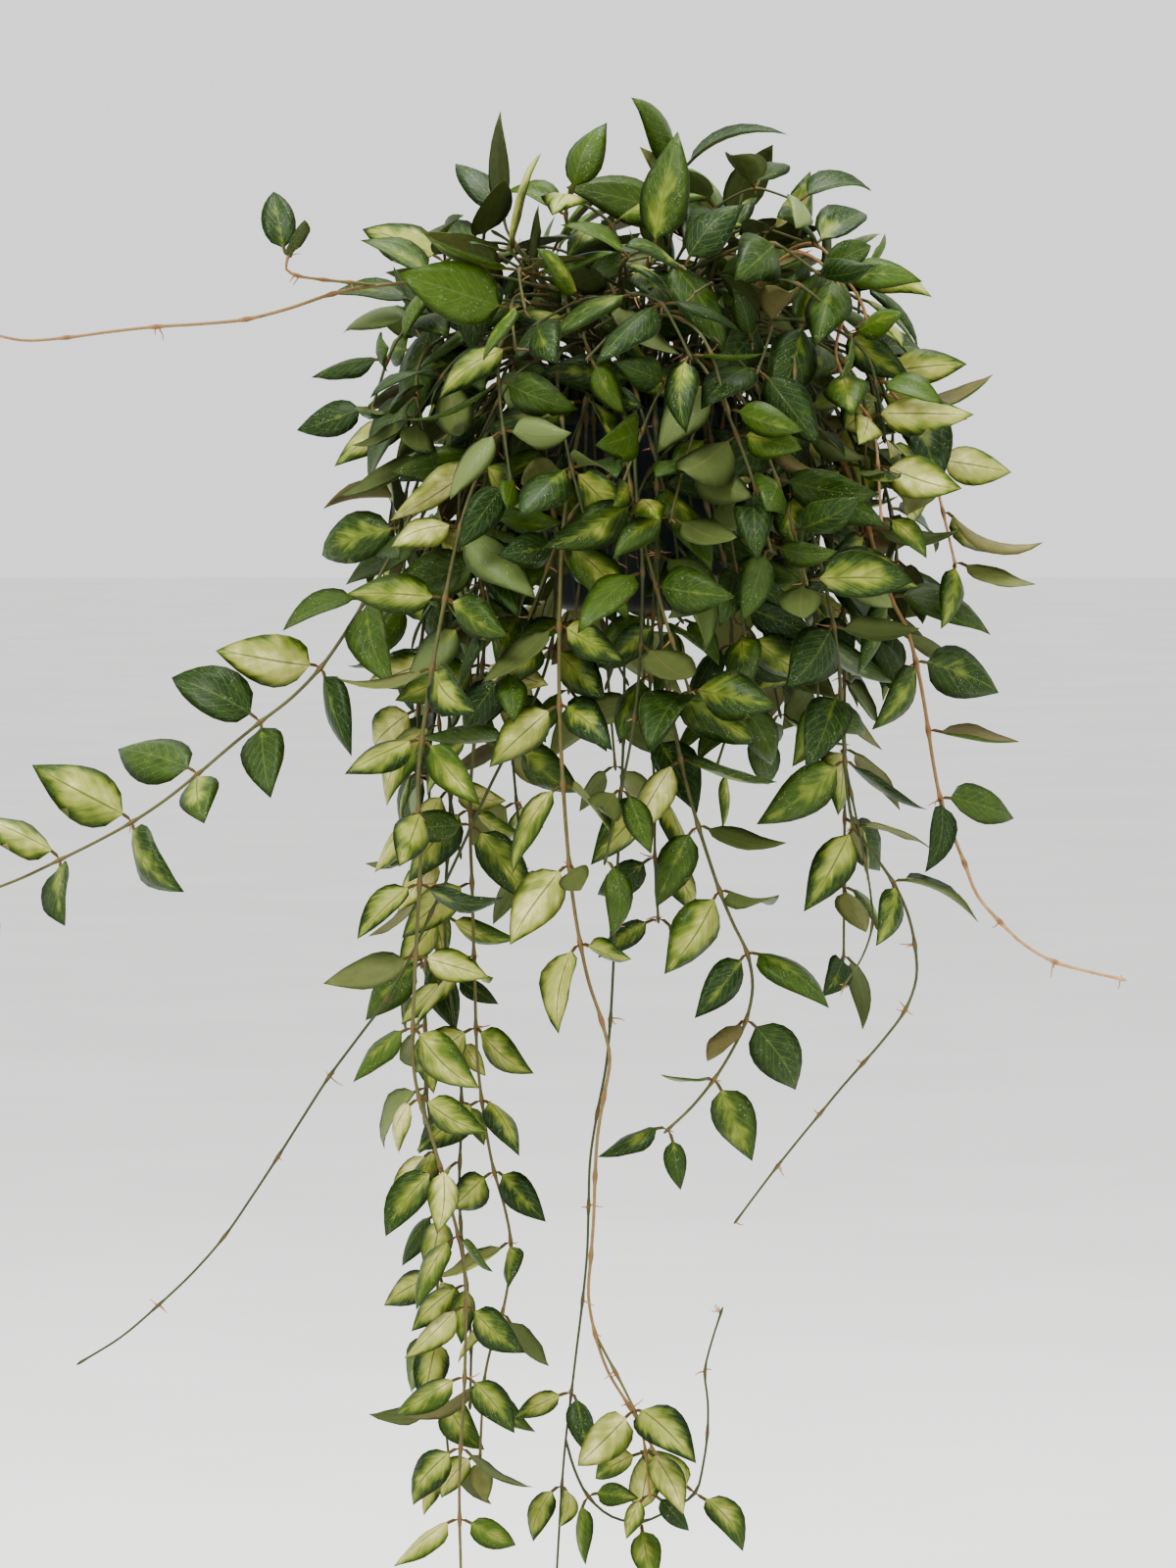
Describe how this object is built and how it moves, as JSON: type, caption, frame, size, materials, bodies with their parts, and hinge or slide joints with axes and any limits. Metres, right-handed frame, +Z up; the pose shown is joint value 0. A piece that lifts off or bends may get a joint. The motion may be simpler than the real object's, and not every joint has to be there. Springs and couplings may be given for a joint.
{
  "type": "potted climbing plant",
  "caption": "Hanging pot with a dense mound of pointed variegated leaves and long trailing vines with opposite leaf pairs and bare whip tips.",
  "frame": {"origin": "on the pot's axis in the plane of its rim, where a hanger takes hold", "axes": "+Z up along the pot's axis, -Y the front that the picture shows, +X to the right"},
  "size_m": [0.6567, 0.3486, 0.8659],
  "materials": {
    "pot_plastic": "satin",
    "medium_fibre": "matte",
    "leaf_green": "satin",
    "leaf_yellow_green": "satin",
    "leaf_cream": "satin"
  },
  "bodies": {
    "root": {"pot": "pot_plastic", "growing_medium": "medium_fibre", "left_bare_whip": "leaf_green", "left_spreading_vine": "leaf_yellow_green", "left_column_vine": "leaf_cream", "long_thin_whip": "leaf_green", "vine_beside_column": "leaf_cream", "centre_tan_vine": "leaf_yellow_green", "thin_dark_vine": "leaf_cream", "centre_vine": "leaf_yellow_green", "lower_right_vine": "leaf_yellow_green", "right_peach_vine": "leaf_yellow_green", "right_edge_stem_front": "leaf_yellow_green", "right_edge_stem_outer": "leaf_cream", "top_shoot": "leaf_green", "green_shoot": "leaf_green", "upright_striped_shoot": "leaf_yellow_green", "short_vine_01": "leaf_green", "short_vine_02": "leaf_yellow_green", "short_vine_03": "leaf_cream", "short_vine_04": "leaf_cream", "short_vine_05": "leaf_green", "short_vine_06": "leaf_cream", "short_vine_07": "leaf_green", "short_vine_08": "leaf_green", "short_vine_09": "leaf_green", "crown_shoot_01": "leaf_yellow_green", "crown_shoot_02": "leaf_green", "crown_shoot_03": "leaf_green", "crown_shoot_04": "leaf_green", "crown_shoot_05": "leaf_green", "crown_shoot_06": "leaf_green", "crown_shoot_07": "leaf_green", "crown_shoot_08": "leaf_green", "crown_shoot_09": "leaf_green", "crown_shoot_10": "leaf_green", "crown_shoot_11": "leaf_green", "crown_shoot_12": "leaf_yellow_green", "crown_shoot_13": "leaf_green", "crown_shoot_14": "leaf_cream", "crown_shoot_15": "leaf_cream", "crown_shoot_16": "leaf_green", "crown_shoot_17": "leaf_cream", "crown_shoot_18": "leaf_green", "crown_shoot_19": "leaf_green", "crown_shoot_20": "leaf_cream", "crown_shoot_21": "leaf_green", "crown_shoot_22": "leaf_yellow_green"}
  },
  "joints": []
}
